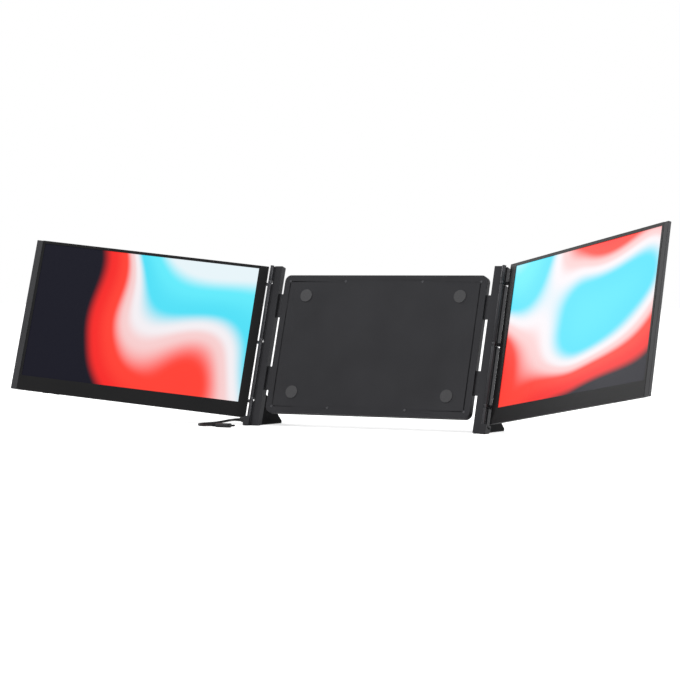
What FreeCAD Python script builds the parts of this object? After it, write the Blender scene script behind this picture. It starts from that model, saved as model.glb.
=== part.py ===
import FreeCAD, Part
import math
import os
import re
import Sketcher
from FreeCAD import Vector

# Laptop screen extender: a centre unit behind the lid, two sliding arms that hold the hinge
# barrels, a screen on each barrel, a swing-out foot behind each arm and a short USB-C cable.
# Millimetres, +Z up. X runs to the user's right and Y away from the user. The origin is where
# the middle of the lid's front plane meets the table.
# Pieces are drawn upright, with Y as depth behind the lid's front and Z up along the lid, and
# then leaned back. Right-hand pieces are drawn, and left-hand ones are their mirror image.

SIZES = [
    ("lean", 16.65, "lean of the lid and of the whole frame, degrees from upright"),
    ("right_fold", 31.5, "right screen's fold towards the user, degrees"),
    ("left_fold", 22.5, "left screen's fold towards the user, degrees"),
    ("display_wide", 314.6, "lit width of one screen"),
    ("display_tall", 196.6, "lit height of one screen"),
    ("top_border", 4.2, "frame above the lit area"),
    ("chin", 21.0, "frame below the lit area"),
    ("inner_border", 13.5, "frame between the hinge and the lit area"),
    ("outer_border", 3.6, "frame between the lit area and the grip strip"),
    ("grip_wide", 8.7, "width of the grip strip"),
    ("grip_deep", 4.6, "depth of the grip strip"),
    ("grip_gap", 0.2, "joint line between the grip strip and the screen"),
    ("grip_round", 0.8, "roundness of the grip strip's edges"),
    ("grip_end", 0.4, "grip strip's ends inside the screen's"),
    ("peg_r", 1.0, "radius of the pegs that hold the grip strip"),
    ("peg_lift", 0.3, "pegs behind the middle of the grip strip"),
    ("peg_end", 30.0, "pegs from the ends of the screen"),
    ("peg_root", 1.0, "how far a peg reaches into the grip strip"),
    ("screen_bottom", 15.2, "bottom edge of the screens above the table line, along the lid"),
    ("screen_deep", 7.0, "thickness of a screen"),
    ("bezel_deep", 0.9, "thickness of the front frame"),
    ("panel_deep", 1.2, "thickness of the display glass"),
    ("panel_lap", 2.0, "how far the display glass reaches under the front frame"),
    ("guide_deep", 1.4, "thickness of the light guide"),
    ("tray_deep", 0.5, "thickness of the sheet tray behind the light guide"),
    ("board_deep", 1.0, "thickness of the circuit boards"),
    ("board_inset", 50.0, "controller board from the lit area's inner edge"),
    ("board_long", 140.0, "length of the controller board"),
    ("board_edge", 1.2, "controller board above the chin's wall"),
    ("board_stand", 1.4, "controller board behind the front frame"),
    ("stand_inset", 6.0, "board's stands from its ends"),
    ("chip_inset", 20.0, "first chip from the board's end"),
    ("chip_pitch", 28.0, "distance between chips"),
    ("chip_wide", 9.0, "size of a chip"),
    ("chip_rise", 3.0, "chips above the board's lower edge"),
    ("chip_deep", 0.9, "thickness of a chip"),
    ("wall", 1.2, "wall of the moulded screen covers"),
    ("edge_bevel", 2.6, "bevel around the back of a screen"),
    ("stack_gap", 0.05, "gap between the layers of a screen"),
    ("web_reach", 3.0, "hinge axis outside the arm's bar"),
    ("axis_y", 4.0, "hinge axis behind the lid's front plane"),
    ("hinge_reach", 7.3, "hinge axis to the inner edge of a screen"),
    ("right_drop", 5.4, "right screen's face behind its hinge axis"),
    ("left_drop", 13.2, "left screen's face behind its hinge axis, one screen more than the right"),
    ("barrel_r", 2.8, "radius of the hinge barrel"),
    ("pin_inset", 0.2, "bottom of the hinge pin above the screen's bottom edge"),
    ("barrel_inset", 1.8, "top of the barrel below the screen's top edge"),
    ("knuckle_tall", 4.6, "height of each knuckle"),
    ("knuckle_gap", 0.25, "play above and below a knuckle"),
    ("knuckle_inset", 24.1, "centre of an outer knuckle from the end of the pin's stretch"),
    ("pin_r", 1.5, "radius of the hinge pin"),
    ("pin_play", 0.05, "radial play round the pins"),
    ("cap_tall", 1.2, "height of the cap that closes a barrel"),
    ("bracket_deep", 1.6, "thickness of the steel hinge bracket"),
    ("bracket_wide", 8.0, "width of the bracket's strip inside the screen"),
    ("bracket_gap", 0.4, "bracket's strip from the wall beside it"),
    ("bracket_end", 1.0, "bracket's strip from the walls at its ends"),
    ("bracket_foot", 0.5, "knuckle arm's reach over the strip"),
    ("arm_gap", 8.0, "gap between the centre unit and the arm as photographed"),
    ("arm_wide", 12.2, "width of the arm's bar"),
    ("arm_front_y", 6.0, "front of the arm's bar, just behind the lid"),
    ("arm_deep", 10.0, "depth of the arm's bar"),
    ("arm_wall", 1.6, "walls of the arm's bar"),
    ("arm_cover_deep", 1.4, "thickness of the arm's rear cover"),
    ("cover_gap", 0.1, "play round the covers"),
    ("web_front_y", 5.4, "front of the web between bar and barrel"),
    ("web_back_y", 7.8, "back of the web between bar and barrel"),
    ("shoulder_reach", 6.6, "shoulder behind the barrel, outside the bar"),
    ("shoulder_lap", 0.4, "how far the web and the shoulder overlap"),
    ("block_wide", 9.4, "width of the port block outside the bar"),
    ("block_front_y", 0.8, "front of the port block"),
    ("block_back_y", 15.2, "back of the port block"),
    ("block_clear", 0.8, "top of the port block below the screens' bottom edge"),
    ("pad_deep", 1.0, "thickness of the rubber under the port block"),
    ("pad_inset", 0.8, "rubber's edge inside the block's edge"),
    ("port_y", 8.0, "socket's centre behind the lid's front plane"),
    ("port_z", 10.1, "socket's centre above the table line"),
    ("socket_wide", 8.94, "socket shell's width"),
    ("socket_tall", 3.16, "socket shell's height"),
    ("socket_wall", 0.3, "socket shell's wall"),
    ("socket_deep", 7.0, "socket shell's depth"),
    ("contact_wide", 6.7, "width of the contact blade"),
    ("contact_tall", 0.7, "height of the contact blade"),
    ("contact_inset", 1.2, "contact blade's end inside the block's side"),
    ("port_wall", 1.0, "wall of the port block around the socket's mouth"),
    ("pocket_wide", 10.0, "width of the pocket for the port board"),
    ("pocket_tall", 6.0, "height of the pocket for the port board"),
    ("port_cover_deep", 0.8, "thickness of the plate that closes the pocket"),
    ("unit_half_wide", 158.0, "half of the centre unit's width"),
    ("unit_rise", 6.8, "bottom of the centre unit above the screens' bottom edge"),
    ("unit_inset", 15.0, "top of the centre unit below the screens' top edge"),
    ("unit_screw_inset", 9.0, "screw from the edge of the centre unit"),
    ("unit_screw_reach", 60.0, "inner screws from the middle"),
    ("screw_spare", 2.0, "gap between a long screw's tip and the back"),
    ("unit_corner", 9.0, "corner radius of the centre unit"),
    ("unit_front_y", 6.2, "front of the centre unit"),
    ("unit_back_y", 15.8, "back of the centre unit"),
    ("unit_wall", 1.5, "wall of the centre unit's shell"),
    ("plate_deep", 1.5, "thickness of the centre unit's front plate"),
    ("lid_pad_deep", 1.0, "thickness of the silicone pads that meet the lid"),
    ("lid_pad_r", 9.0, "radius of a lid pad"),
    ("lid_pad_side", 38.0, "lid pad from the side of the centre unit"),
    ("lid_pad_end", 30.0, "lid pad from the top or bottom of the centre unit"),
    ("tongue_spare", 30.0, "how far a tongue reaches past its guide"),
    ("tongue_tall", 34.0, "height of a slide tongue"),
    ("tongue_deep", 2.0, "thickness of a slide tongue"),
    ("tongue_y", 10.0, "front of the slide tongues"),
    ("upper_tongue_drop", 44.0, "centre of an upper tongue below the top of the centre unit"),
    ("lower_tongue_rise", 50.0, "centre of a lower tongue above the bottom of the centre unit"),
    ("tongue_play", 0.15, "play round a tongue in its guide"),
    ("guide_long", 40.0, "inner end of a rail guide from the side of the centre unit"),
    ("guide_rim", 5.0, "rail guide's material above and below the tongue"),
    ("brake_r", 4.0, "radius of a brake pad"),
    ("screw_r", 0.9, "radius of the small screws"),
    ("pilot_play", 0.02, "radial play of a screw in its post"),
    ("pilot_floor", 0.4, "solid left in front of a post's hole"),
    ("arm_pilot_floor", 0.6, "solid left in front of an arm screw's hole"),
    ("tip_play", 0.15, "gap in front of a screw's tip"),
    ("post_lift", 18.0, "post beside a knuckle"),
    ("chin_post_z", 7.0, "chin posts above the screen's bottom edge"),
    ("chin_post_in", 20.0, "inner chin post from the lit area's inner edge"),
    ("chin_post_out", 75.0, "outer chin post from the lit area's outer edge"),
    ("head_r", 1.7, "radius of the screw heads"),
    ("head_tall", 0.8, "height of the screw heads"),
    ("post_r", 2.4, "radius of the posts that take the screws"),
    ("foot_inset", 3.6, "foot's hinge axis inside the outer side of the bar"),
    ("foot_back", 3.7, "foot's hinge axis behind the bar"),
    ("foot_thick", 5.0, "thickness of a foot"),
    ("foot_barrel_r", 3.0, "radius of the foot's hinge barrel"),
    ("foot_pin_r", 1.2, "radius of the foot's pin"),
    ("foot_reach", 60.0, "foot's toe behind its hinge axis"),
    ("foot_slope", 42.0, "slope of the foot's rear edge, degrees above level"),
    ("foot_front", 5.6, "front edge of the foot's blade behind its axis"),
    ("toe_tall", 2.0, "height of the toe's blunt end"),
    ("foot_root", 1.0, "overlap of the foot's barrel plate and its blade"),
    ("foot_barrel_bottom", 15.0, "bottom of the foot's hinge barrel"),
    ("foot_barrel_top", 40.0, "top of the foot's hinge barrel"),
    ("ear_tall", 4.0, "height of the ears that hold the foot"),
    ("ear_gap", 0.2, "play between the foot's barrel and the ears"),
    ("channel_floor", 4.0, "solid left between the upper ear and the bar's channel"),
    ("tread_deep", 1.4, "thickness of the rubber under a foot"),
    ("button_wide", 8.0, "width of a button"),
    ("button_deep", 1.6, "depth of a button"),
    ("button_proud", 0.6, "how far a button stands out"),
    ("button_back", 0.5, "button behind the front frame"),
    ("button_play", 0.1, "play round a button"),
    ("flange_tall", 0.8, "height of a button's flange"),
    ("flange_lap", 1.0, "how far a button's flange laps its hole"),
    ("power_inset", 41.9, "power button from the outer edge of the screen"),
    ("button_pitch", 16.0, "distance between the two buttons"),
    ("cable_r", 1.7, "radius of the cable"),
    ("plug_long", 7.5, "length of a plug's overmould outside the socket"),
    ("far_plug_long", 20.0, "length of the far plug's overmould"),
    ("plug_wide", 11.0, "width of a plug's overmould"),
    ("plug_tall", 5.6, "height of a plug's overmould"),
    ("tip_long", 6.2, "length of a plug's metal tip"),
    ("tip_wide", 8.2, "width of a plug's metal tip"),
    ("tip_tall", 2.4, "height of a plug's metal tip"),
    ("tip_wall", 0.3, "wall of a plug's metal tip"),
]

doc = FreeCAD.newDocument("screen_extender")
sheet = doc.addObject("Spreadsheet::Sheet", "Sizes")
for row, (alias, value, meaning) in enumerate(SIZES, start=1):
    sheet.set(f"A{row}", meaning)
    sheet.set(f"B{row}", str(value))
    sheet.setAlias(f"B{row}", alias)
doc.recompute()
NAMES = {alias for alias, value, meaning in SIZES}
DERIVED = {
    "screen_top": "screen_bottom+chin+display_tall+top_border",
    "lit_left": "hinge_reach+inner_border",
    "lit_bottom": "screen_bottom+chin",
    "lit_right": "lit_left+display_wide",
    "lit_top": "lit_bottom+display_tall",
    "screen_right": "lit_right+outer_border",
    "block_top": "screen_bottom-block_clear",
    "barrel_bottom": "screen_bottom+pin_inset",
    "barrel_top": "screen_top-barrel_inset",
    "low_knuckle": "barrel_bottom+knuckle_inset",
    "mid_knuckle": "(barrel_bottom+barrel_top)/2",
    "high_knuckle": "barrel_top-knuckle_inset",
    "unit_bottom": "screen_bottom+unit_rise",
    "unit_top": "screen_top-unit_inset",
    "unit_inside_back": "unit_back_y-unit_wall",
    "plate_back": "unit_front_y+plate_deep",
    "upper_tongue_z": "unit_top-upper_tongue_drop",
    "lower_tongue_z": "unit_bottom+lower_tongue_rise",
    "guide_inner_x": "unit_half_wide-guide_long",
    "guide_middle_x": "unit_half_wide-guide_long/2",
    "tongue_inner_x": "guide_inner_x-tongue_spare",
    "lid_pad_x": "unit_half_wide-lid_pad_side",
    "arm_inner_x": "unit_half_wide+arm_gap",
    "arm_outer_x": "arm_inner_x+arm_wide",
    "arm_back_y": "arm_front_y+arm_deep",
    "axis_x": "arm_outer_x+web_reach",
    "block_outer_x": "arm_outer_x+block_wide",
    "foot_axis_x": "arm_outer_x-foot_inset",
    "foot_axis_y": "arm_back_y+foot_back",
    "channel_bottom": "foot_barrel_top+ear_gap+ear_tall+channel_floor",
    "power_x": "screen_right-power_inset",
}
RIGHT = 1
LEFT = -1
SIDE_NAME = {RIGHT: "right", LEFT: "left"}


def bound(text):
    """Expression text in which each size is looked up in the sheet."""
    def look_up(word):
        if word[0] in DERIVED:
            return f"({bound(DERIVED[word[0]])})"
        return "Sizes." + word[0] if word[0] in NAMES else word[0]
    return re.sub(r"[a-z_]\w*", look_up, str(text))


def number(text):
    """Value of an expression in the sizes, angles in degrees."""
    return float(sheet.evalExpression(bound(text)))


def rectangle(x0, y0, x1, y1):
    return polygon([(x0, y0), (x1, y0), (x1, y1), (x0, y1)])


def polygon(points):
    return {"lines": list(zip(points, points[1:] + points[:1])), "arcs": []}


def rounded(x0, y0, x1, y1, radius):
    """Rectangle with round corners."""
    left, right = f"{x0}+{radius}", f"{x1}-({radius})"
    low, high = f"{y0}+{radius}", f"{y1}-({radius})"
    lines = [((left, y0), (right, y0)), ((x1, low), (x1, high)),
             ((right, y1), (left, y1)), ((x0, high), (x0, low))]
    arcs = [((right, low), radius), ((right, high), radius), ((left, high), radius), ((left, low), radius)]
    return {"lines": lines, "arcs": arcs}


def stadium(x, y, wide, tall):
    """Slot shape with round ends, long along the first direction."""
    left, right = f"{x}-({wide}-({tall}))/2", f"{x}+({wide}-({tall}))/2"
    low, high = f"{y}-({tall})/2", f"{y}+({tall})/2"
    lines = [((left, low), (right, low)), ((right, high), (left, high))]
    return {"lines": lines, "arcs": [((right, y), f"({tall})/2"), ((left, y), f"({tall})/2")]}


def circle(x, y, radius):
    return {"circle": (x, y, radius)}


def flip(text):
    return f"-({text})"


def mirrored(loop):
    """The loop on the other side of the middle plane."""
    if "circle" in loop:
        x, y, radius = loop["circle"]
        return circle(flip(x), y, radius)
    lines = [((flip(b[0]), b[1]), (flip(a[0]), a[1])) for a, b in reversed(loop["lines"])]
    arcs = [((flip(centre[0]), centre[1]), radius) for centre, radius in reversed(loop["arcs"])]
    if arcs:
        arcs = arcs[1:] + arcs[:1]
    return {"lines": lines, "arcs": arcs}


LEAN = "placement(vector(0;0;0);rotation(vector(1;0;0);-lean))"
PIECES = []


def screen_frame(side):
    """Placement of a screen: on its hinge axis, folded towards the user, then leaned back."""
    turn = f"{-side}*{SIDE_NAME[side]}_fold"
    return f"{LEAN}*placement(vector({side}*axis_x;axis_y;0);rotation(vector(0;0;1);{turn}))"


def keep(label, item, frame):
    """List a finished piece under its label and put it in its frame."""
    item.Label = label
    if frame:
        item.setExpression("Placement", bound(frame))
    PIECES.append(item)
    return item


class Piece:
    """A body made of pads and pockets, drawn for the right-hand side."""

    def __init__(self, label, side=RIGHT, frame=LEAN):
        self.side = side
        self.body = doc.addObject("PartDesign::Body", label)
        keep(label, self.body, frame)

    def sketch(self, plane, loops, level):
        sketch = self.body.newObject("Sketcher::SketchObject", self.body.Name + "_sketch")
        origin = next(item for item in self.body.Origin.OriginFeatures if item.Role == plane + "_Plane")
        sketch.AttachmentSupport = [(origin, "")]
        sketch.MapMode = "FlatFace"
        outward = f"-({level})" if plane == "XZ" else level
        sketch.setExpression("AttachmentOffset.Base.z", bound(outward))
        for loop in loops:
            if self.side == LEFT and plane != "YZ":
                loop = mirrored(loop)
            draw(sketch, loop)
        return sketch

    def span(self, plane, start, end):
        if self.side == LEFT and plane == "YZ":
            return flip(end), flip(start)
        return start, end

    def pad(self, plane, loops, start, end):
        """Add the loops' area from start to end along the plane's normal."""
        start, end = self.span(plane, start, end)
        sketch = self.sketch(plane, loops, end if plane == "XZ" else start)
        feature = self.body.newObject("PartDesign::Pad", self.body.Name + "_pad")
        feature.Profile = sketch
        feature.setExpression("Length", bound(f"({end})-({start})"))
        return feature

    def pocket(self, plane, loops, start, end):
        """Cut the loops' area away from start to end along the plane's normal."""
        start, end = self.span(plane, start, end)
        sketch = self.sketch(plane, loops, start if plane == "XZ" else end)
        feature = self.body.newObject("PartDesign::Pocket", self.body.Name + "_pocket")
        feature.Profile = sketch
        feature.setExpression("Length", bound(f"({end})-({start})"))
        return feature

    def soften(self, kind, size, choose):
        """Fillet or chamfer the edges that choose picks by their two ends."""
        doc.recompute()
        base = self.body.Tip
        names = []
        for index, edge in enumerate(base.Shape.Edges, start=1):
            ends = [vertex.Point for vertex in edge.Vertexes]
            if len(ends) == 2 and choose(*ends):
                names.append(f"Edge{index}")
        feature = self.body.newObject("PartDesign::" + kind, self.body.Name + "_edge")
        feature.Base = (base, names)
        feature.setExpression("Radius" if kind == "Fillet" else "Size", bound(size))
        return feature


def draw(sketch, loop):
    """Draw one closed loop with every point tied to the sheet."""
    if "circle" in loop:
        x, y, radius = loop["circle"]
        shape = Part.Circle(Vector(number(x), number(y), 0), Vector(0, 0, 1), number(radius))
        item = sketch.addGeometry(shape, False)
        tie(sketch, "DistanceX", (-1, 1, item, 3), x)
        tie(sketch, "DistanceY", (-1, 1, item, 3), y)
        tie(sketch, "Radius", (item,), radius)
        return
    lines = []
    for start, end in loop["lines"]:
        points = [Vector(number(x), number(y), 0) for x, y in (start, end)]
        lines.append(sketch.addGeometry(Part.LineSegment(*points), False))
        for position, (x, y) in ((1, start), (2, end)):
            if loop["arcs"] or position == 1:
                tie(sketch, "DistanceX", (-1, 1, lines[-1], position), x)
                tie(sketch, "DistanceY", (-1, 1, lines[-1], position), y)
    for index, item in enumerate(lines):
        following = lines[(index + 1) % len(lines)]
        if not loop["arcs"]:
            sketch.addConstraint(Sketcher.Constraint("Coincident", item, 2, following, 1))
            continue
        centre, radius = loop["arcs"][index]
        middle = Vector(number(centre[0]), number(centre[1]), 0)
        first = sketch.getPoint(item, 2)
        last = sketch.getPoint(following, 1)
        start = math.atan2(first.y - middle.y, first.x - middle.x)
        turn = (math.atan2(last.y - middle.y, last.x - middle.x) - start) % (2 * math.pi)
        arc = Part.ArcOfCircle(Part.Circle(middle, Vector(0, 0, 1), number(radius)), start, start + turn)
        drawn = sketch.addGeometry(arc, False)
        sketch.addConstraint(Sketcher.Constraint("Coincident", item, 2, drawn, 1))
        sketch.addConstraint(Sketcher.Constraint("Coincident", following, 1, drawn, 2))
        tie(sketch, "DistanceX", (-1, 1, drawn, 3), centre[0])


def tie(sketch, kind, places, text):
    index = sketch.addConstraint(Sketcher.Constraint(kind, *places, number(text)))
    sketch.setExpression(f"Constraints[{index}]", bound(text))


def rod(name, side, x, y, z, radius, length, along="Z"):
    """Cylinder that starts at a point and runs along an axis."""
    item = doc.addObject("Part::Cylinder", name)
    item.setExpression("Radius", bound(radius))
    item.setExpression("Height", bound(length))
    turn = {"Z": "0", "Y": "-90"}[along]
    seat = f"placement(vector({side}*({x});{y};{z});rotation(vector(1;0;0);{turn}))"
    item.setExpression("Placement", bound(seat))
    return item


def fuse(name, first, second):
    fused = doc.addObject("Part::Fuse", name)
    fused.Base = first
    fused.Tool = second
    return fused


def gather(label, members, frame):
    """One piece list entry for solids that share a label."""
    compound = doc.addObject("Part::Compound", label)
    compound.Links = members
    return keep(label, compound, frame)


def screws(label, side, frame, places, head_y, tip_y):
    """Group of equal screws along Y, each with its head at head_y and its tip at tip_y."""
    group = []
    for index, (x, z) in enumerate(places):
        name = f"{label}_{index}"
        head = rod(name + "_head", side, x, f"{head_y}-head_tall", z, "head_r", "head_tall", "Y")
        shank = rod(name + "_shank", side, x, tip_y, z, "screw_r", f"{head_y}-head_tall-({tip_y})", "Y")
        group.append(fuse(name, head, shank))
    return gather(label, group, frame)


def solid_rod(label, side, frame, *place):
    """A rod that is a piece of its own."""
    return gather(label, [rod(label + "_rod", side, *place)], frame)


def level_z(y, height):
    """Height along the lid of a level plane that lies height above the table, at depth y."""
    return f"(({height})+({y})*sin(lean))/cos(lean)"


KNUCKLES = ["low_knuckle", "mid_knuckle", "high_knuckle"]
TONGUES = {"upper": "upper_tongue_z", "lower": "lower_tongue_z"}


def barrel_spans():
    """Heights of the barrel's fixed segments, between the knuckles."""
    half = "knuckle_tall/2+knuckle_gap"
    edges = ["block_top"]
    for middle in KNUCKLES:
        edges += [f"{middle}-({half})", f"{middle}+{half}"]
    edges.append("barrel_top-cap_tall")
    return list(zip(edges[0::2], edges[1::2]))


def centre_screw_places():
    places = []
    for x in ("unit_half_wide-unit_screw_inset", "unit_screw_reach"):
        for z in ("unit_bottom+unit_screw_inset", "unit_top-unit_screw_inset"):
            places += [(x, z), (flip(x), z)]
    return places


def lid_pad_places():
    return [(x, z) for x in ("lid_pad_x", "-lid_pad_x")
            for z in ("unit_bottom+lid_pad_end", "unit_top-lid_pad_end")]


def holes(places, radius):
    return [circle(x, z, radius) for x, z in places]


def tongue_slot(height, play):
    """Outline of a tongue's cross section with play all round."""
    return rectangle(f"tongue_y-{play}", f"{height}-tongue_tall/2-{play}",
                     f"tongue_y+tongue_deep+{play}", f"{height}+tongue_tall/2+{play}")


def make_centre_unit():
    """Flat casing behind the lid, with the guides in which the arms slide."""
    wide, low, high, thick = "unit_half_wide", "unit_bottom", "unit_top", "unit_wall"
    outer = rounded(flip(wide), low, wide, high, "unit_corner")
    places = centre_screw_places()
    shell = Piece("rear_shell")
    shell.pad("XZ", [outer], "plate_back", "unit_back_y")
    hollow = rounded(f"-{wide}+{thick}", f"{low}+{thick}", f"{wide}-{thick}", f"{high}-{thick}",
                     f"(unit_corner-{thick})")
    shell.pocket("XZ", [hollow], "plate_back", "unit_inside_back")
    for height in TONGUES.values():
        for start, end in ((f"-{wide}", f"-{wide}+{thick}"), (f"{wide}-{thick}", wide)):
            shell.pocket("YZ", [tongue_slot(height, "tongue_play")], start, end)
    shell.pad("XZ", holes(places, "post_r"), "plate_back", "unit_inside_back")
    shell.pocket("XZ", holes(places, "screw_r+pin_play"), "plate_back", "unit_inside_back-pilot_floor")

    plate = Piece("front_plate")
    plate.pad("XZ", [outer], "unit_front_y", "plate_back")
    plate.pocket("XZ", holes(places, "screw_r+pin_play"), "unit_front_y", "plate_back")
    plate.pocket("XZ", holes(places, "head_r+cover_gap"), "unit_front_y", "unit_front_y+head_tall")

    group = []
    for index, (x, z) in enumerate(places):
        name = f"centre_screw_{index}"
        head = rod(name + "_head", RIGHT, x, "unit_front_y", z, "head_r", "head_tall", "Y")
        shank = rod(name + "_shank", RIGHT, x, "unit_front_y+head_tall", z, "screw_r",
                    "unit_inside_back-unit_front_y-head_tall-screw_spare", "Y")
        group.append(fuse(name, head, shank))
    gather("centre_screws", group, LEAN)

    pads = []
    for index, (x, z) in enumerate(lid_pad_places()):
        pads.append(rod(f"lid_pad_{index}", RIGHT, x, "unit_front_y-lid_pad_deep", z,
                        "lid_pad_r", "lid_pad_deep", "Y"))
    gather("lid_pads", pads, LEAN)

    brakes = []
    for name, height in TONGUES.items():
        for side in (LEFT, RIGHT):
            guide = Piece(f"{SIDE_NAME[side]}_{name}_guide", side)
            outer_end = f"{wide}-{thick}-stack_gap"
            tall = "(tongue_tall/2+tongue_play+guide_rim)"
            block = rectangle("plate_back", f"{height}-{tall}", "unit_inside_back", f"{height}+{tall}")
            guide.pad("YZ", [block], "guide_inner_x", outer_end)
            guide.pocket("YZ", [tongue_slot(height, "tongue_play")], "guide_inner_x", outer_end)
            hole = circle("guide_middle_x", height, "brake_r+pin_play")
            guide.pocket("XZ", [hole], "tongue_y+tongue_deep", "unit_inside_back")
            brakes.append(rod(f"{SIDE_NAME[side]}_{name}_brake", side, "guide_middle_x",
                              "tongue_y+tongue_deep+pin_play", height, "brake_r",
                              "unit_inside_back-tongue_y-tongue_deep-pin_play", "Y"))
    gather("slide_brake_pads", brakes, LEAN)


def arm_screw_places():
    middle = "(arm_inner_x+arm_wide/2)"
    return [(middle, f"{height}{sign}tongue_tall/3") for height in TONGUES.values() for sign in ("-", "+")]


def foot_ear_spans():
    """Heights of the two ears, one below and one above the foot's barrel."""
    return [("foot_barrel_bottom-ear_gap-ear_tall", "foot_barrel_bottom-ear_gap"),
            ("foot_barrel_top+ear_gap", "foot_barrel_top+ear_gap+ear_tall")]


def make_arm(side):
    """Arm beside the lid: bar, barrel, port block and the tongues that slide in the centre unit."""
    name = SIDE_NAME[side]
    axis = ("axis_x", "axis_y")
    foot_axis = ("foot_axis_x", "foot_axis_y")
    arm = Piece(f"{name}_side_arm", side)
    top = "barrel_top"
    bar = polygon([("arm_front_y", level_z("arm_front_y", "pad_deep")),
                   ("arm_back_y", level_z("arm_back_y", "pad_deep")),
                   ("arm_back_y", top), ("arm_front_y", top)])
    arm.pad("YZ", [bar], "arm_inner_x", "arm_outer_x")
    block = polygon([("block_front_y", level_z("block_front_y", "pad_deep")),
                     ("block_back_y", level_z("block_back_y", "pad_deep")),
                     ("block_back_y", "block_top"), ("block_front_y", "block_top")])
    arm.pad("YZ", [block], "arm_outer_x", "block_outer_x")
    for low, high in barrel_spans():
        arm.pad("XY", [circle(*axis, "barrel_r")], low, high)
        web = rectangle("arm_outer_x-arm_wall", "web_front_y", "axis_x", "web_back_y")
        arm.pad("XY", [web], low, high)
        shoulder = rectangle("arm_outer_x-arm_wall", "web_back_y-shoulder_lap",
                             "arm_outer_x+shoulder_reach", "arm_back_y")
        arm.pad("XY", [shoulder], low, high)
    arm.pocket("XY", [circle(*axis, "pin_r+pin_play")], "barrel_bottom", top)
    channel = rectangle("arm_inner_x+arm_wall", "channel_bottom", "arm_outer_x-arm_wall", f"{top}-arm_wall")
    arm.pocket("XZ", [channel], "arm_front_y+arm_wall", "arm_back_y")
    for height in TONGUES.values():
        arm.pocket("YZ", [tongue_slot(height, "pin_play")], "arm_inner_x", "arm_inner_x+arm_wall")
    arm.pocket("YZ", [port_outline("0")], "arm_outer_x", "block_outer_x-port_wall")
    mouth = stadium("port_y", "port_z", "socket_wide+cover_gap", "socket_tall+cover_gap")
    arm.pocket("YZ", [mouth], "block_outer_x-port_wall*2", "block_outer_x")
    for low, high in foot_ear_spans():
        ear = rectangle("foot_axis_x-foot_barrel_r", "arm_back_y-arm_wall",
                        "foot_axis_x+foot_barrel_r", "foot_axis_y")
        arm.pad("XY", [ear], low, high)
        arm.pad("XY", [circle(*foot_axis, "foot_barrel_r")], low, high)
    low, high = foot_ear_spans()[0][0], foot_ear_spans()[1][1]
    arm.pocket("XY", [circle(*foot_axis, "foot_pin_r+pin_play")], low, high)
    places = arm_screw_places()
    arm.pocket("XZ", holes(places, "screw_r+pin_play"), "arm_front_y+arm_pilot_floor", "arm_back_y")

    tongues = Piece(f"{name}_slide_tongues", side)
    tongues.body.AllowCompound = True
    outlines = [rectangle("tongue_inner_x", f"{height}-tongue_tall/2",
                          "arm_outer_x-arm_wall-pin_play", f"{height}+tongue_tall/2")
                for height in TONGUES.values()]
    tongues.pad("XZ", outlines, "tongue_y", "tongue_y+tongue_deep")
    tongues.pocket("XZ", holes(places, "screw_r+pin_play"), "tongue_y", "tongue_y+tongue_deep")

    cover = Piece(f"{name}_arm_cover", side)
    outline = rectangle("arm_inner_x+arm_wall+cover_gap", "channel_bottom+cover_gap",
                        "arm_outer_x-arm_wall-cover_gap", f"{top}-arm_wall-cover_gap")
    cover.pad("XZ", [outline], "arm_back_y-arm_cover_deep", "arm_back_y")
    cover.pocket("XZ", holes(places, "screw_r+pin_play"), "arm_back_y-arm_cover_deep", "arm_back_y")
    cover.pocket("XZ", holes(places, "head_r+pin_play"), "arm_back_y-head_tall", "arm_back_y")
    screws(f"{name}_arm_screws", side, LEAN, places, "arm_back_y", "arm_front_y+arm_pilot_floor+tip_play")

    cap_low = "barrel_top-cap_tall"
    solid_rod(f"{name}_hinge_pin", side, LEAN, *axis, "barrel_bottom", "pin_r", f"{cap_low}-barrel_bottom")
    solid_rod(f"{name}_hinge_cap", side, LEAN, *axis, cap_low, "barrel_r", "cap_tall")
    solid_rod(f"{name}_foot_pin", side, LEAN, *foot_axis, low, "foot_pin_r", f"({high})-({low})")
    make_port(side)
    make_block_pad(side)


def port_outline(play):
    """Outline of the pocket for the port board, less some play all round."""
    half_wide, half_tall = f"(pocket_wide/2-{play})", f"(pocket_tall/2-{play})"
    return rectangle(f"port_y-{half_wide}", f"port_z-{half_tall}",
                     f"port_y+{half_wide}", f"port_z+{half_tall}")


def make_port(side):
    """USB-C socket on its board in the port block, and the plate that closes the block."""
    name = SIDE_NAME[side]
    back = "(block_outer_x-socket_deep)"
    mouth = "block_outer_x-cover_gap"
    board = Piece(f"{name}_port_board", side)
    board.pad("YZ", [port_outline("cover_gap")], f"{back}-board_deep", back)
    cover = Piece(f"{name}_port_cover", side)
    cover.pad("YZ", [port_outline("cover_gap")], "arm_outer_x", "arm_outer_x+port_cover_deep")
    socket = Piece(f"{name}_usb_socket", side)
    socket.pad("YZ", [stadium("port_y", "port_z", "socket_wide", "socket_tall")], back, mouth)
    bore = stadium("port_y", "port_z", "socket_wide-2*socket_wall", "socket_tall-2*socket_wall")
    socket.pocket("YZ", [bore], f"{back}+socket_wall*2", mouth)
    blade = rectangle("port_y-contact_wide/2", "port_z-contact_tall/2",
                      "port_y+contact_wide/2", "port_z+contact_tall/2")
    socket.pad("YZ", [blade], f"{back}+socket_wall", "block_outer_x-contact_inset")


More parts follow.
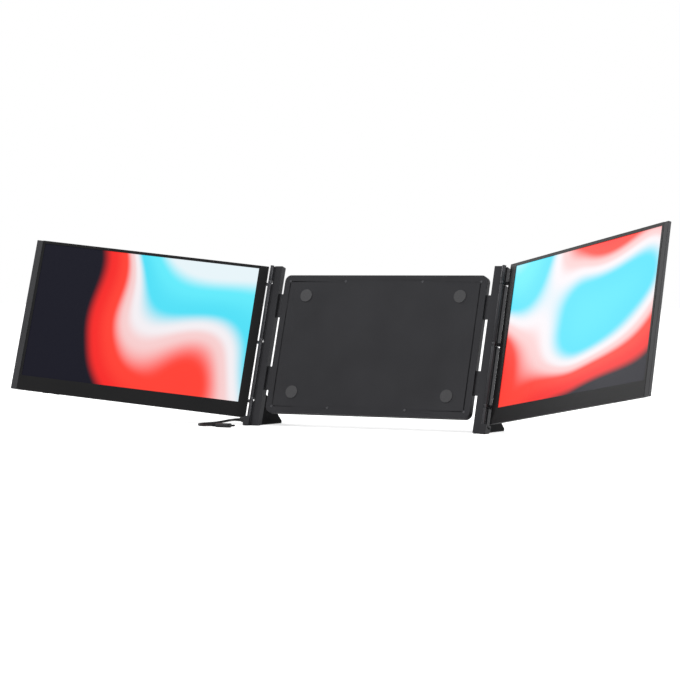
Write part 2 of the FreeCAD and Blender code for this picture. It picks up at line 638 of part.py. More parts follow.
def make_block_pad(side):
    """Level rubber under the port block and the bar."""
    def foot_y(y):
        return f"(({y})+pad_deep*sin(lean))/cos(lean)"
    pad = Piece(f"{SIDE_NAME[side]}_block_pad", side, "")
    inner, outer = "arm_inner_x+pad_inset", "block_outer_x-pad_inset"
    step = "arm_outer_x+pad_inset"
    front, middle = foot_y("block_front_y") + "+pad_inset", foot_y("arm_front_y") + "+pad_inset"
    side_back, back = foot_y("block_back_y") + "-pad_inset", foot_y("arm_back_y") + "-pad_inset"
    bar_outer = "arm_outer_x-pad_inset"
    outline = polygon([(inner, middle), (step, middle), (step, front), (outer, front), (outer, side_back),
                       (bar_outer, side_back), (bar_outer, back), (inner, back)])
    pad.pad("XY", [outline], "0", "pad_deep")


def make_foot(side):
    """Swing-out foot behind the arm: its blade stands on the table on a rubber tread."""
    name = SIDE_NAME[side]
    low, high = "foot_barrel_bottom", "foot_barrel_top"
    near, far = "(foot_axis_y+foot_front)", "(foot_axis_y+foot_reach)"
    start, end = "foot_axis_x-foot_thick/2", "foot_axis_x+foot_thick/2"
    toe = level_z(far, "tread_deep")
    foot = Piece(f"{name}_stand_foot", side)
    blade = polygon([(near, level_z(near, "tread_deep")), (far, toe), (far, f"{toe}+toe_tall"),
                     (near, f"{toe}+toe_tall+({far}-{near})*tan(foot_slope-lean)")])
    foot.pad("YZ", [blade], start, end)
    foot.pad("YZ", [rectangle("foot_axis_y", low, f"{near}+foot_root", high)], start, end)
    foot.pad("XY", [circle("foot_axis_x", "foot_axis_y", "foot_barrel_r")], low, high)
    foot.pocket("XY", [circle("foot_axis_x", "foot_axis_y", "foot_pin_r+pin_play")], low, high)
    tread = Piece(f"{name}_foot_tread", side)
    strip = polygon([(near, level_z(near, "0")), (far, level_z(far, "0")), (far, toe),
                     (near, level_z(near, "tread_deep"))])
    tread.pad("YZ", [strip], start, end)


def make_screen(side):
    """One screen about its hinge axis, from the front frame back to the rear cover."""
    name = SIDE_NAME[side]
    frame = screen_frame(side)
    face = f"{name}_drop"
    back = f"({face}+screen_deep)"
    left, bottom, right, top = "hinge_reach", "screen_bottom", "screen_right", "screen_top"
    behind = f"({face}+bezel_deep)"
    inside = f"({back}-wall)"
    strip_x = f"({left}+wall+bracket_gap)"
    strip_y = f"({behind}+stack_gap)"
    strip_back = f"{strip_y}+bracket_deep"
    post_x = f"({strip_x}+bracket_wide/2)"
    hinge_posts = [(post_x, f"{middle}{sign}post_lift") for middle, sign in zip(KNUCKLES, ("+", "+", "-"))]
    chin_posts = [("lit_left+chin_post_in", f"{bottom}+chin_post_z"),
                  ("lit_right-chin_post_out", f"{bottom}+chin_post_z")]
    posts = hinge_posts + chin_posts
    outer = rectangle(left, bottom, right, top)
    board_left, board_right = "(lit_left+board_inset)", "(lit_left+board_inset+board_long)"
    board_low, board_high = f"({bottom}+wall+board_edge)", "(lit_bottom-panel_lap-board_edge)"
    board_y = f"({behind}+board_stand)"

    bezel = Piece(f"{name}_front_bezel", side, frame)
    window = rectangle("lit_left", "lit_bottom", "lit_right", "lit_top")
    bezel.pad("XZ", [outer, window], face, behind)
    bezel.pad("XZ", holes(posts, "post_r"), behind, inside)
    stands = [circle(x, f"({board_low}+{board_high})/2", "post_r")
              for x in (f"{board_left}+stand_inset", f"{board_right}-stand_inset")]
    bezel.pad("XZ", stands, behind, board_y)
    bezel.pocket("XZ", holes(posts, "screw_r+pilot_play"), f"{behind}+pilot_floor", inside)

    def inset(size):
        return rectangle(f"{left}+{size}", f"{bottom}+{size}", f"{right}-{size}", f"{top}-{size}")
    cover = Piece(f"{name}_rear_cover", side, frame)
    cover.pad("XZ", [outer], behind, back)
    back_y = number(back)
    cover.soften("Chamfer", "edge_bevel", lambda a, b: abs(a.y - back_y) < 1e-6 and abs(b.y - back_y) < 1e-6)
    cover.pocket("XZ", [inset("wall")], behind, f"{back}-edge_bevel")
    cover.pocket("XZ", [inset("(wall+edge_bevel)")], f"{back}-edge_bevel-stack_gap", inside)
    cover.pocket("XZ", holes(posts, "post_r+pin_play"), behind, inside)
    half = "knuckle_tall/2+knuckle_gap"
    slots = [rectangle(f"{left}-wall", f"{z}-({half})", f"{left}+wall*2", f"{z}+{half}") for z in KNUCKLES]
    cover.pocket("XZ", slots, behind, f"{strip_back}+knuckle_gap")
    cover.pocket("XZ", holes(posts, "screw_r+pin_play"), inside, back)
    cover.pocket("XZ", holes(posts, "head_r+pin_play"), f"{back}-head_tall", back)
    peg_y = f"({face}+grip_deep/2+peg_lift)"
    peg_heights = (f"{bottom}+peg_end", f"{top}-peg_end")
    peg_holes = [circle(peg_y, z, "peg_r+pin_play") for z in peg_heights]
    cover.pocket("YZ", peg_holes, f"{right}-wall", right)
    key_y = f"({behind}+button_back+button_deep/2)"
    for x in ("power_x", "(power_x-button_pitch)"):
        half_wide, half_deep = "(button_wide/2+button_play)", "(button_deep/2+button_play)"
        hole = rectangle(f"{x}-{half_wide}", f"{key_y}-{half_deep}",
                         f"{x}+{half_wide}", f"{key_y}+{half_deep}")
        cover.pocket("XY", [hole], bottom, f"{bottom}+wall")
    screws(f"{name}_screen_screws", side, frame, posts, back, f"{behind}+pilot_floor+tip_play")

    lap = rectangle("lit_left-panel_lap", "lit_bottom-panel_lap", "lit_right+panel_lap", "lit_top+panel_lap")
    start = f"({behind}+stack_gap)"
    layers = (("lcd_panel", "panel_deep"), ("light_guide", "guide_deep"), ("panel_tray", "tray_deep"))
    for layer, deep in layers:
        piece = Piece(f"{name}_{layer}", side, frame)
        piece.pad("XZ", [lap], start, f"{start}+{deep}")
        start = f"({start}+{deep}+stack_gap)"

    board = Piece(f"{name}_controller_board", side, frame)
    board_back = f"({board_y}+board_deep)"
    board.pad("XZ", [rectangle(board_left, board_low, board_right, board_high)], board_y, board_back)
    chips = []
    for index in range(4):
        chip_x, chip_z = f"({board_left}+chip_inset+{index}*chip_pitch)", f"({board_low}+chip_rise)"
        chips.append(rectangle(chip_x, chip_z, f"{chip_x}+chip_wide", f"{chip_z}+chip_wide"))
    board.pad("XZ", chips, board_back, f"{board_back}+chip_deep")

    bracket = Piece(f"{name}_hinge_bracket", side, frame)
    strip = rectangle(strip_x, f"{bottom}+wall+bracket_end", f"{strip_x}+bracket_wide",
                      f"{top}-wall-bracket_end")
    bracket.pad("XZ", [strip], strip_y, strip_back)
    reach = f"{strip_x}+bracket_foot"
    arm = polygon([("barrel_r*cos(12)", "barrel_r*sin(12)"), ("barrel_r*cos(12)", strip_y),
                   (reach, strip_y), (reach, strip_back), ("bracket_foot", strip_back),
                   ("-barrel_r*cos(50)", "barrel_r*sin(50)")])
    for middle in KNUCKLES:
        low, high = f"{middle}-knuckle_tall/2", f"{middle}+knuckle_tall/2"
        bracket.pad("XY", [arm], low, high)
        bracket.pad("XY", [circle("0", "0", "barrel_r")], low, high)
    bore = circle("0", "0", "pin_r+pin_play")
    bracket.pocket("XY", [bore], "low_knuckle-knuckle_tall", "high_knuckle+knuckle_tall")
    bracket.pocket("XZ", holes(hinge_posts, "post_r+pin_play"), strip_y, strip_back)

    grip = Piece(f"{name}_grip_strip", side, frame)
    grip_left = f"({right}+grip_gap)"
    section = rounded(grip_left, face, f"{grip_left}+grip_wide", f"{face}+grip_deep", "grip_round")
    grip.pad("XY", [section], f"{bottom}+grip_end", f"{top}-grip_end")
    pegs = [circle(peg_y, z, "peg_r") for z in peg_heights]
    grip.pad("YZ", pegs, f"{right}-wall", f"{grip_left}+peg_root")

    low_y, high_y = f"{key_y}-button_deep/2", f"{key_y}+button_deep/2"
    flange_low = f"({bottom}+wall+stack_gap)"
    flange_high = f"({flange_low}+flange_tall)"
    for label, x in (("power_button", "power_x"), ("menu_button", "(power_x-button_pitch)")):
        button = Piece(f"{name}_{label}", side, frame)
        cap = rectangle(f"{x}-button_wide/2", low_y, f"{x}+button_wide/2", high_y)
        button.pad("XY", [cap], f"{bottom}-button_proud", flange_high)
        half_flange = "(button_wide/2+flange_lap)"
        flange = rectangle(f"{x}-{half_flange}", low_y, f"{x}+{half_flange}", high_y)
        button.pad("XY", [flange], flange_low, flange_high)


FAR_PLUG_X = -195.0
FAR_PLUG_Y = -53.7
CABLE_TURNS = [(-205, 10.56, 7.6), (-214, 9.4, 6.2), (-225, 4.8, 3.6), (-234, -4.2, 2),
               (-239.8, -17.2, 1.75), (-238.8, -32.2, 1.75), (-229.8, -44.7, 1.75), (-217.3, -51.9, 1.9),
               (-204.8, FAR_PLUG_Y, 2.8)]
ARC_SHARE = 0.45


def tube(points, radius):
    """Round tube along straight runs joined by tangent arcs."""
    edges = []
    radii = []
    start = points[0]
    for before, corner, after in zip(points, points[1:], points[2:]):
        arriving, leaving = corner - before, after - corner
        reach = ARC_SHARE * min(arriving.Length, leaving.Length)
        half_turn = arriving.getAngle(leaving) / 2
        radii.append(reach / math.tan(half_turn))
        arriving.normalize()
        leaving.normalize()
        first, last = corner - arriving * reach, corner + leaving * reach
        inward = leaving - arriving
        inward.normalize()
        crown = corner + inward * (radii[-1] / math.cos(half_turn) - radii[-1])
        edges.append(Part.LineSegment(start, first).toShape())
        edges.append(Part.Arc(first, crown, last).toShape())
        start = last
    edges.append(Part.LineSegment(start, points[-1]).toShape())
    path = Part.Wire(edges)
    profile = Part.Wire(Part.Circle(points[0], points[1] - points[0], radius).toShape())
    solid = path.makePipeShell([profile], True, False)
    ratio = solid.Volume / (math.pi * radius ** 2 * path.Length)
    print("cable length", round(path.Length, 1), "radii", [round(value, 1) for value in radii])
    print("cable volume over section times length", round(ratio, 4))
    return solid


def make_plug(label, side, frame, long, y, z, body_start):
    """USB-C plug whose overmould starts at body_start and whose hollow tip points to the middle."""
    plug = Piece(label, side, frame)
    plug.pad("YZ", [stadium(y, z, "plug_wide", "plug_tall")], body_start, f"{body_start}+{long}")
    plug.pad("YZ", [stadium(y, z, "tip_wide", "tip_tall")], f"{body_start}-tip_long", body_start)
    hollow = stadium(y, z, "tip_wide-2*tip_wall", "tip_tall-2*tip_wall")
    plug.pocket("YZ", [hollow], f"{body_start}-tip_long", body_start)


def make_cable():
    """Short lead from the left port to its far plug."""
    make_plug("near_plug", LEFT, LEAN, "plug_long", "port_y", "port_z", "block_outer_x+cover_gap")
    make_plug("far_plug", LEFT, "", "far_plug_long", str(FAR_PLUG_Y), "plug_tall/2",
              f"{-FAR_PLUG_X}-far_plug_long")
    exit_x = number("-(block_outer_x+cover_gap+plug_long)")
    exit_y = number("port_y*cos(lean)+port_z*sin(lean)")
    exit_z = number("port_z*cos(lean)-port_y*sin(lean)")
    points = [Vector(exit_x, exit_y, exit_z)] + [Vector(*point) for point in CABLE_TURNS]
    points[1] = Vector(points[1].x, exit_y, exit_z)
    points.append(Vector(FAR_PLUG_X, FAR_PLUG_Y, points[-1].z))
    cable = doc.addObject("Part::Feature", "usb_cable")
    cable.Shape = tube(points, number("cable_r"))
    keep("usb_cable", cable, "")


make_centre_unit()
for arm_side in (LEFT, RIGHT):
    make_arm(arm_side)
    make_foot(arm_side)
    make_screen(arm_side)
make_cable()
doc.recompute()

for item in doc.Objects:
    if "Invalid" in item.State or "Error" in item.State:
        raise RuntimeError(f"{item.Label} did not build: {item.State}")
for item in PIECES:
    if item.Shape.isNull() or not item.Shape.isValid() or not item.Shape.Solids:
        raise RuntimeError(f"{item.Label} has no valid shape")
os.makedirs("parts", exist_ok=True)
for item in PIECES:
    item.Shape.exportStep(f"parts/{item.Label}.step")
    print(f"{item.Label:28s} solids {len(item.Shape.Solids)} volume {item.Shape.Volume:10.1f}")
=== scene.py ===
import math

import bpy
from mathutils import Matrix, Quaternion, Vector


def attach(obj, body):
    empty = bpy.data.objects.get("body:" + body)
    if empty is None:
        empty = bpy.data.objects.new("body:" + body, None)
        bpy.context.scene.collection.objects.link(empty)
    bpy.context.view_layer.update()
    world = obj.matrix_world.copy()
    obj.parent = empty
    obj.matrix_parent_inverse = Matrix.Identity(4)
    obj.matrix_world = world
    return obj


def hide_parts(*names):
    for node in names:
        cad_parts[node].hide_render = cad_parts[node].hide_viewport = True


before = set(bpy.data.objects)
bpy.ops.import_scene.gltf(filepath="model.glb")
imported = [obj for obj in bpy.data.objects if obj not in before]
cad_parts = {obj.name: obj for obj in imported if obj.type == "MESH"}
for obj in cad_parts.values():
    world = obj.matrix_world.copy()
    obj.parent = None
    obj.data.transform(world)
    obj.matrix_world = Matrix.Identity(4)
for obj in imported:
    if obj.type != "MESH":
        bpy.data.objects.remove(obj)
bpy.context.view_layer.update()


# The photograph's view, from the user's right and a little above the table, through a long
# lens. The camera stands where lines fitted to the object's corners place it.
looking = Vector((-0.48228, 0.87583, -0.01880)).normalized()
roll = Quaternion((0, 0, 1), math.radians(0.32))
bpy.ops.object.camera_add(location=(1.532, -2.8401, 0.1827))
camera = bpy.context.object
camera.rotation_mode = "QUATERNION"
camera.rotation_quaternion = looking.to_track_quat("-Z", "Y") @ roll
camera.data.sensor_width = 36
camera.data.lens = 125.68
bpy.context.scene.camera = camera


class Value:
    """A number or colour that a node gives. Sums written on it add Math nodes."""

    def __init__(self, finish, socket):
        self.finish, self.socket = finish, socket

    def sum(self, operation, first, second):
        return self.finish.node("ShaderNodeMath", {"operation": operation}, {0: first, 1: second})

    def __add__(self, other):
        return self.sum("ADD", self, other)

    __radd__ = __add__

    def __sub__(self, other):
        return self.sum("SUBTRACT", self, other)

    def __rsub__(self, other):
        return self.sum("SUBTRACT", other, self)

    def __mul__(self, other):
        return self.sum("MULTIPLY", self, other)

    __rmul__ = __mul__

    def __gt__(self, other):
        return self.sum("GREATER_THAN", self, other)

    def __lt__(self, other):
        return self.sum("LESS_THAN", self, other)


class Finish:
    """A material put together from nodes."""

    def __init__(self, name):
        self.material = bpy.data.materials.new(name)
        self.material.use_nodes = True
        self.tree = self.material.node_tree
        self.tree.nodes.clear()

    def node(self, kind, settings, sockets, output=0):
        """Add one node: its settings, then the values or links of its sockets."""
        made = self.tree.nodes.new(kind)
        for key, value in settings.items():
            if key == "stops":
                ramp = made.color_ramp
                while len(ramp.elements) < len(value):
                    ramp.elements.new(0.5)
                for element, (place, colour) in zip(ramp.elements, value):
                    element.position = place
                    element.color = (*colour, 1)
            elif key == "interpolation_type":
                made.color_ramp.interpolation = value
            else:
                setattr(made, key, value)
        for key, value in sockets.items():
            if isinstance(value, Value):
                self.tree.links.new(value.socket, made.inputs[key])
            elif isinstance(value, tuple) and made.inputs[key].type == "RGBA":
                made.inputs[key].default_value = (*value, 1)[:4]
            else:
                made.inputs[key].default_value = value
        return Value(self, made.outputs[output])

    def place(self):
        """Where on the object a point is, in metres."""
        return self.node("ShaderNodeTexCoord", {}, {}, "Object")

    def grain(self, place, scale, detail=2.0, roughness=0.5):
        """Uneven pattern, from 0 to 1."""
        return self.node(
            "ShaderNodeTexNoise", {"noise_dimensions": "3D"},
            {"Vector": place, "Scale": scale, "Detail": detail, "Roughness": roughness})

    def stretch(self, place, *scale):
        """Place with its axes scaled, so that a pattern on it runs in lines."""
        return self.node("ShaderNodeMapping", {"vector_type": "POINT"},
                         {"Vector": place, "Scale": scale})

    def blend(self, factor, first, second):
        """Colour between two colours."""
        return self.node("ShaderNodeMix", {"data_type": "RGBA"},
                         {0: factor, 6: first, 7: second}, 2)

    def relief(self, height, depth):
        """Bumps as deep as depth, in metres, where height goes from 0 to 1."""
        return self.node("ShaderNodeBump", {},
                         {"Height": height, "Distance": depth, "Strength": 1.0}, "Normal")

    def surface(self, **sockets):
        """Close the material with the shader itself."""
        named = {key.replace("_", " "): value for key, value in sockets.items()}
        shader = self.node("ShaderNodeBsdfPrincipled", {}, named)
        end = self.tree.nodes.new("ShaderNodeOutputMaterial")
        self.tree.links.new(shader.socket, end.inputs["Surface"])
        return self.material


def coat(names, material):
    """Give solids that come from the model a material."""
    for name in names:
        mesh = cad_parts[name].data
        mesh.materials.clear()
        mesh.materials.append(material)


def rounded_edges(names, width, steps=2):
    """Break the sharp edges of solids that come from the model, as moulding and machining do."""
    for name in names:
        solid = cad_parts[name]
        weld = solid.modifiers.new("closed", "WELD")
        weld.merge_threshold = 0.000002
        edge = solid.modifiers.new("edges", "BEVEL")
        edge.width = width
        edge.segments = steps
        edge.limit_method = "ANGLE"
        edge.angle_limit = math.radians(30)
        edge.use_clamp_overlap = True


def sides(*names):
    """The left and the right solid of each name."""
    return [f"{side}_{name}" for side in ("left", "right") for name in names]


# Cable: a short USB-C lead, 3.4 mm across, in a black elastomer jacket. It leaves the plug in
# the left arm, drops to the table, turns back in a loose half loop and ends in its other plug.
lean = math.radians(16.65)
cable_radius = 0.0017
port_depth, port_height = 0.008, 0.0101
plug_face = Vector((-0.1952, port_depth * math.cos(lean) + port_height * math.sin(lean),
                    port_height * math.cos(lean) - port_depth * math.sin(lean)))
cable_route = [
    plug_face, (-0.205, plug_face.y, plug_face.z), (-0.214, 0.0094, 0.0062),
    (-0.225, 0.0048, 0.0036), (-0.234, -0.0042, 0.002), (-0.2398, -0.0172, 0.00175),
    (-0.2388, -0.0322, 0.00175), (-0.2298, -0.0447, 0.00175), (-0.2173, -0.0519, 0.0019),
    (-0.2048, -0.0537, 0.0028), (-0.195, -0.0537, 0.0028)]
route = bpy.data.curves.new("usb_lead", "CURVE")
route.dimensions = "3D"
spline = route.splines.new("NURBS")
spline.points.add(len(cable_route) - 1)
for point, place in zip(spline.points, cable_route):
    point.co = (*place, 1)
spline.order_u = 3
spline.use_endpoint_u = True
spline.resolution_u = 12
lead = bpy.data.objects.new("usb_lead", route)
bpy.context.scene.collection.objects.link(lead)
line = [vertex.co.copy() for vertex in bpy.data.meshes.new_from_object(lead).vertices]
route.bevel_depth = cable_radius
route.bevel_resolution = 6

jacket = Finish("cable_jacket")
where = jacket.place()
dust = jacket.grain(where, 900, 3)
jacket_material = jacket.surface(
    Base_Color=jacket.blend(
        jacket.grain(where, 60), (0.005, 0.005, 0.0055), (0.010, 0.010, 0.0105)),
    Roughness=0.42 + 0.16 * dust, Normal=jacket.relief(dust, 0.00002), Specular_IOR_Level=0.2)
lead.data.materials.append(jacket_material)
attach(lead, "left_arm")
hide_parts("usb_cable")


# Boots: where the lead enters each plug, a ribbed sleeve of the same elastomer is moulded
# over it, thick at the plug and thin at its free end, so that the lead can't kink there.
def boot(name, points):
    """Sleeve over the start of a line, its radii given in millimetres."""
    reach, steps, rib_steps = 0.011, 44, 4
    thick, taper, groove = 2.55, 0.7, 0.82
    sleeve = bpy.data.curves.new(name, "CURVE")
    sleeve.dimensions = "3D"
    spline = sleeve.splines.new("POLY")
    marks = []
    for index in range(steps + 1):
        want, travelled = reach * index / steps, 0.0
        for first, second in zip(points, points[1:]):
            step = (second - first).length
            if travelled + step >= want:
                marks.append(first.lerp(second, (want - travelled) / step))
                break
            travelled += step
    spline.points.add(len(marks) - 1)
    for index, (point, place) in enumerate(zip(spline.points, marks)):
        share = index / steps
        rib = groove if (index // rib_steps) % 2 and share < 0.95 else 1.0
        point.co = (*place, 1)
        point.radius = (thick - taper * share) * rib
    sleeve.bevel_depth = 0.001
    sleeve.bevel_resolution = 6
    sleeve.use_fill_caps = True
    piece = bpy.data.objects.new(name, sleeve)
    bpy.context.scene.collection.objects.link(piece)
    bpy.ops.object.select_all(action="DESELECT")
    bpy.context.view_layer.objects.active = piece
    piece.select_set(True)
    bpy.ops.object.convert(target="MESH")
    bpy.ops.object.shade_smooth_by_angle(angle=math.radians(40))
    piece.data.materials.clear()
    piece.data.materials.append(jacket_material)
    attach(piece, "left_arm")
    return piece


boots = [boot("near_boot", line), boot("far_boot", line[::-1])]


# Plugs: a USB-C plug at each end of the lead, with a softly rounded, matte moulded body and a
# drawn tip. They and the boots lie and move with the lead.
plug = Finish("plug_body")
where = plug.place()
grain = plug.grain(where, 1500, 2)
plug_material = plug.surface(
    Base_Color=plug.blend(
        plug.grain(where, 90), (0.011, 0.011, 0.012), (0.020, 0.020, 0.021)),
    Roughness=0.45 + 0.12 * grain, Normal=plug.relief(grain, 0.00002), Specular_IOR_Level=0.35)
coat(["near_plug", "far_plug"], plug_material)
rounded_edges(["near_plug", "far_plug"], 0.0006, 3)
cable_length = sum((b - a).length for a, b in zip(line, line[1:]))


# Table and backdrop: one white surface that reads as blank paper and keeps the object's
# shadow. A broad overhead light falls evenly on it, and soft boxes and the world fill in. The
# world is white to the camera and dimmer as a light.
paper = Finish("white_paper")
seen = paper.node("ShaderNodeLightPath", {}, {}, "Is Camera Ray")
paper_material = paper.surface(
    Base_Color=(0.82, 0.82, 0.82), Roughness=0.9, Specular_IOR_Level=0.0,
    Emission_Color=(1.0, 1.0, 1.0), Emission_Strength=0.47 * seen)
bpy.ops.mesh.primitive_plane_add(size=60, location=(0, 0, -0.0001))
table = bpy.context.object
table.name = "table"
table.data.materials.append(paper_material)

white, fill = 1.0, 0.58
world = bpy.data.worlds.new("white_room")
world.use_nodes = True
bpy.context.scene.world = world
room = world.node_tree
path = room.nodes.new("ShaderNodeLightPath")
background = room.nodes["Background"]
background.inputs["Color"].default_value = (1, 1, 1, 1)
direct = room.nodes.new("ShaderNodeMath")
direct.operation = "MAXIMUM"
room.links.new(path.outputs["Is Camera Ray"], direct.inputs[0])
room.links.new(path.outputs["Is Transmission Ray"], direct.inputs[1])
level = room.nodes.new("ShaderNodeMath")
level.operation = "MULTIPLY_ADD"
level.inputs[1].default_value = white - fill
level.inputs[2].default_value = fill
room.links.new(direct.outputs[0], level.inputs[0])
room.links.new(level.outputs[0], background.inputs["Strength"])


def soft_box(place, target, wide, tall, watts):
    """Rectangular light that faces its target."""
    bpy.ops.object.light_add(type="AREA", location=place)
    lamp = bpy.context.object
    lamp.data.shape = "RECTANGLE"
    lamp.data.size, lamp.data.size_y = wide, tall
    lamp.data.energy = watts
    lamp.rotation_mode = "QUATERNION"
    lamp.rotation_quaternion = (Vector(target) - Vector(place)).to_track_quat("-Z", "Y")


soft_box((-2.6, 0.4, 1.1), (0.2, 0, 0.12), 1.6, 1.6, 42)
soft_box((2.4, -0.3, 0.9), (-0.2, 0, 0.12), 1.4, 1.6, 40)
bpy.ops.object.light_add(type="SUN", location=(0.4, -0.8, 2.5))
sun = bpy.context.object
sun.data.energy = 1.5
sun.data.angle = math.radians(75)
sun.rotation_euler = (math.radians(22), math.radians(8), 0)


# Centre unit: a flat casing of dark anodised aluminium behind the lid, a front plate screwed
# into a rear shell, with silicone pads that meet the lid and acetal guides for the arms inside.
metal = Finish("dark_anodised_aluminium")
where = metal.place()
fine = metal.grain(where, 2600, 3, 0.6)
cloud = metal.grain(where, 14, 2)
anodised = metal.surface(
    Base_Color=metal.blend(cloud, (0.030, 0.030, 0.033), (0.044, 0.044, 0.048)), Metallic=0.75,
    Roughness=0.36 + 0.10 * fine + 0.06 * cloud, Normal=metal.relief(fine, 0.000015))
coat(["rear_shell", "front_plate", *sides("side_arm", "hinge_cap")], anodised)
rounded_edges(["rear_shell"], 0.0012, 3)
rounded_edges(["front_plate"], 0.0004)

pad = Finish("silicone_pads")
where = pad.place()
skin = pad.grain(where, 700, 3)
silicone = pad.surface(
    Base_Color=pad.blend(skin, (0.035, 0.035, 0.037), (0.060, 0.060, 0.063)),
    Roughness=0.62 + 0.15 * skin, Normal=pad.relief(skin, 0.00003), Specular_IOR_Level=0.4)
coat(["lid_pads"], silicone)
rounded_edges(["lid_pads"], 0.0003)

acetal = Finish("acetal_guides")
where = acetal.place()
swirl = acetal.grain(where, 300, 2)
coat(sides("upper_guide", "lower_guide"), acetal.surface(
    Base_Color=acetal.blend(swirl, (0.10, 0.10, 0.105), (0.15, 0.15, 0.155)),
    Roughness=0.35 + 0.1 * swirl, Normal=acetal.relief(swirl, 0.00001)))

grip = Finish("brake_rubber")
where = grip.place()
crumb = grip.grain(where, 1400, 4, 0.7)
rubber = grip.surface(
    Base_Color=grip.blend(crumb, (0.008, 0.008, 0.009), (0.022, 0.022, 0.023)),
    Roughness=0.7 + 0.2 * crumb, Normal=grip.relief(crumb, 0.00005), Specular_IOR_Level=0.3)
coat(["slide_brake_pads", *sides("block_pad", "foot_tread")], rubber)


# Screws: small turned machine screws of blackened steel, whose finish is rubbed in places. They
# hold the front plate, the arm covers and the screens' rear covers.
screw = Finish("blackened_steel")
where = screw.place()
rub = screw.grain(where, 500, 4, 0.65)
screw_groups = ["centre_screws", *sides("arm_screws", "screen_screws")]
coat(screw_groups, screw.surface(
    Base_Color=screw.blend(rub, (0.05, 0.05, 0.055), (0.16, 0.16, 0.17)), Metallic=1.0,
    Roughness=0.28 + 0.18 * rub, Normal=screw.relief(rub, 0.00001)))
rounded_edges(screw_groups, 0.00015)


# Arms: aluminium bars with a hinge barrel down their outer edge and a port block at the foot.
# Blackened steel tongues slide in the centre unit, as dark as the brackets that hold the
# screens, and bright steel pins run through the hinges.
rounded_edges(sides("side_arm"), 0.0003)
rounded_edges(sides("hinge_cap"), 0.0004, 3)
steel = Finish("brushed_steel")
where = steel.place()
lines = steel.grain(steel.stretch(where, 25, 2200, 2200), 1.0, 4, 0.7)
coat(sides("hinge_pin", "foot_pin"), steel.surface(
    Base_Color=steel.blend(lines, (0.42, 0.42, 0.43), (0.58, 0.58, 0.59)), Metallic=1.0,
    Roughness=0.24 + 0.16 * lines, Normal=steel.relief(lines, 0.00001)))

knuckle = Finish("blackened_bracket")
where = knuckle.place()
lines = knuckle.grain(knuckle.stretch(where, 900, 900, 60), 1.0, 3, 0.6)
blackened = knuckle.surface(
    Base_Color=knuckle.blend(lines, (0.035, 0.035, 0.038), (0.075, 0.075, 0.08)), Metallic=0.9,
    Roughness=0.32 + 0.14 * lines, Normal=knuckle.relief(lines, 0.00001))
coat(sides("hinge_bracket", "slide_tongues"), blackened)
rounded_edges(sides("hinge_bracket"), 0.0003)


# Ports: a drawn USB-C shell of blackened steel on a small board in each block. The boards, like
# those in the screens, are glass fibre under green solder mask, with copper tracks that show.
coat(sides("usb_socket"), blackened)
mask = Finish("solder_mask")
where = mask.place()
weave = mask.grain(where, 420, 1)
copper = mask.node("ShaderNodeTexVoronoi", {"feature": "DISTANCE_TO_EDGE"},
                   {"Vector": where, "Scale": 260.0}) < 0.06
coat(sides("port_board", "controller_board"), mask.surface(
    Base_Color=mask.blend(copper, (0.010, 0.075, 0.030), (0.030, 0.16, 0.065)),
    Roughness=0.32 + 0.12 * weave, Normal=mask.relief(copper, 0.00002)))


# Feet: black moulded fins that swing out behind the arms on a pin, with a rubber tread below
# each. The pads under the port blocks are of the same rubber.
fin = Finish("foot_moulding")
where = fin.place()
spark = fin.grain(where, 1300, 3, 0.6)
coat(sides("stand_foot"), fin.surface(
    Base_Color=fin.blend(fin.grain(where, 40), (0.004, 0.004, 0.0045), (0.007, 0.007, 0.0075)),
    Roughness=0.5 + 0.14 * spark, Normal=fin.relief(spark, 0.00003), Specular_IOR_Level=0.04))
rounded_edges(sides("stand_foot"), 0.0006, 3)
rounded_edges(sides("foot_tread", "block_pad"), 0.0002)


# Screens: a moulded pan behind and a thin satin frame in front hold the glass. The moulding
# has a fine spark-eroded grain, as have the strips that close the arms and the port blocks, and
# the grip along the outer edge is a softer, paler strip.
pan = Finish("moulded_cover")
where = pan.place()
spark = pan.grain(where, 1500, 3, 0.6)
coat(sides("rear_cover", "arm_cover", "port_cover"), pan.surface(
    Base_Color=pan.blend(pan.grain(where, 22), (0.018, 0.018, 0.020), (0.026, 0.026, 0.028)),
    Roughness=0.46 + 0.14 * spark, Normal=pan.relief(spark, 0.00003), Specular_IOR_Level=0.4))
rounded_edges(sides("rear_cover"), 0.0005)
rounded_edges(sides("arm_cover"), 0.0002)

front = Finish("satin_frame")
where = front.place()
spark = front.grain(where, 1800, 2, 0.5)
coat(sides("front_bezel"), front.surface(
    Base_Color=front.blend(front.grain(where, 18), (0.007, 0.007, 0.0075), (0.010, 0.010, 0.0105)),
    Roughness=0.40 + 0.12 * spark, Normal=front.relief(spark, 0.00002), Specular_IOR_Level=0.11))
rounded_edges(sides("front_bezel"), 0.0002)

strip = Finish("soft_grip")
where = strip.place()
spark = strip.grain(where, 1100, 3, 0.6)
coat(sides("grip_strip"), strip.surface(
    Base_Color=strip.blend(strip.grain(where, 30), (0.024, 0.024, 0.026), (0.034, 0.034, 0.036)),
    Roughness=0.55 + 0.14 * spark, Normal=strip.relief(spark, 0.00004), Specular_IOR_Level=0.28))
rounded_edges(sides("grip_strip"), 0.0004, 3)

key = Finish("button_cap")
where = key.place()
spark = key.grain(where, 1700, 2)
coat(sides("power_button", "menu_button"), key.surface(
    Base_Color=key.blend(spark, (0.020, 0.020, 0.021), (0.034, 0.034, 0.036)),
    Roughness=0.38 + 0.12 * spark, Normal=key.relief(spark, 0.00002)))
rounded_edges(sides("power_button", "menu_button"), 0.0003, 3)


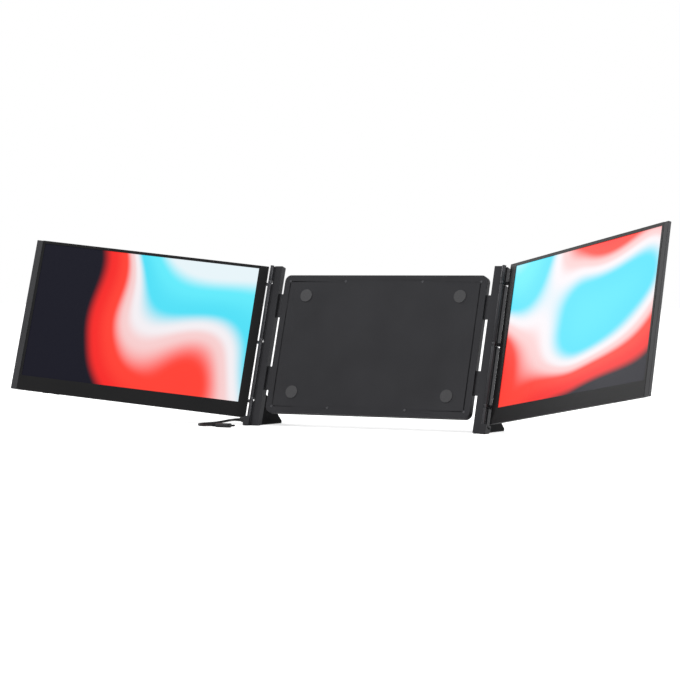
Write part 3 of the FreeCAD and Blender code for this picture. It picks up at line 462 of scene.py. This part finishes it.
# Inside the screens: an acrylic light guide with printed dots behind each panel, in a tray of
# bare rolled sheet metal. Both are out of sight in a finished screen.
acrylic = Finish("light_guide")
where = acrylic.place()
dots = acrylic.node("ShaderNodeTexVoronoi", {"feature": "F1"},
                    {"Vector": where, "Scale": 420.0}, "Distance") < 0.28
coat(sides("light_guide"), acrylic.surface(
    Base_Color=acrylic.blend(dots, (0.70, 0.73, 0.76), (0.92, 0.93, 0.94)),
    Roughness=0.12 + 0.3 * dots, Coat_Weight=0.3))

tray = Finish("bare_sheet")
where = tray.place()
rolled = tray.grain(tray.stretch(where, 30, 900, 900), 1.0, 3)
coat(sides("panel_tray"), tray.surface(
    Base_Color=tray.blend(rolled, (0.56, 0.57, 0.58), (0.70, 0.71, 0.72)), Metallic=1.0,
    Roughness=0.34 + 0.14 * rolled, Normal=tray.relief(rolled, 0.00001)))


# Glass: the lit panel under a smooth dark sheet. Its picture is a flowing blend of near-black
# navy, red, pale pink and cyan, drawn in the screen's own plane and dark outside the lit area.
hinge_out, hinge_back, hinge_reach = 0.1812, 0.004, 0.0073
inner_border, chin, screen_foot = 0.0135, 0.021, 0.0152
half_wide, half_tall, panel_deep = 0.1573, 0.0983, 0.0012
pattern_scale = 5.0
# Stops on the picture's flow, from navy through red and pink to cyan and white.
picture_stops = [
    (0.40, (0.003, 0.003, 0.010)), (0.475, (0.93, 0.020, 0.016)), (0.555, (1.0, 0.050, 0.030)),
    (0.60, (0.93, 0.62, 0.62)), (0.625, (0.90, 0.86, 0.89)), (0.67, (0.08, 0.74, 0.92)),
    (0.76, (0.12, 0.82, 0.96)), (0.86, (0.80, 0.90, 0.94))]


def lit_glass(name, side, fold, face):
    """Screen on one side, -1 or 1, folded by so many degrees, its face so far behind its hinge."""
    glass = Finish(name)
    tilt = Matrix.Rotation(-lean, 3, "X")
    turn = tilt @ Matrix.Rotation(-side * math.radians(fold), 3, "Z")
    hinge = tilt @ Vector((side * hinge_out, hinge_back, 0))
    flat = glass.node("ShaderNodeMapping", {"vector_type": "TEXTURE"}, {
        "Vector": glass.place(), "Location": tuple(hinge),
        "Rotation": tuple(turn.to_euler("XYZ"))})
    across, depth, height = (
        glass.node("ShaderNodeSeparateXYZ", {}, {"Vector": flat}, axis) for axis in range(3))
    across = (across - side * (hinge_reach + inner_border + half_wide)) * pattern_scale
    height = (height - (screen_foot + chin + half_tall)) * pattern_scale
    spot = glass.node("ShaderNodeCombineXYZ", {}, {0: across, 1: height, 2: 1.6 + 1.1 * side})
    sway = glass.grain(spot, 0.9, 0.0)
    beside = glass.node("ShaderNodeMapping", {"vector_type": "POINT"},
                        {"Vector": spot, "Location": (4.3, 2.7, 1.1)})
    bend = glass.grain(beside, 0.8, 0.0)
    flow = 1.25 * sway + 0.75 * bend + 0.22 * height - 0.26 * side * across - (0.51 + 0.04 * side)
    picture = glass.node(
        "ShaderNodeValToRGB", {"interpolation_type": "EASE", "stops": picture_stops},
        {"Fac": flow}, "Color")
    edge_x, edge_z = half_wide * pattern_scale, half_tall * pattern_scale
    lit = (depth < face + panel_deep) * (across < edge_x) * (across > -edge_x)
    lit = lit * (height < edge_z) * (height > -edge_z)
    smear = glass.grain(glass.place(), 9, 3)
    return glass.surface(
        Base_Color=(0.006, 0.006, 0.007), Roughness=0.20 + 0.06 * smear, Specular_IOR_Level=0.06,
        Emission_Color=glass.blend(lit, (0.0, 0.0, 0.0), picture), Emission_Strength=1.0)


coat(["left_lcd_panel"], lit_glass("left_lit_glass", -1, 22.5, 0.0132))
coat(["right_lcd_panel"], lit_glass("right_lit_glass", 1, 31.5, 0.0054))


bpy.context.scene.view_settings.view_transform = "Standard"
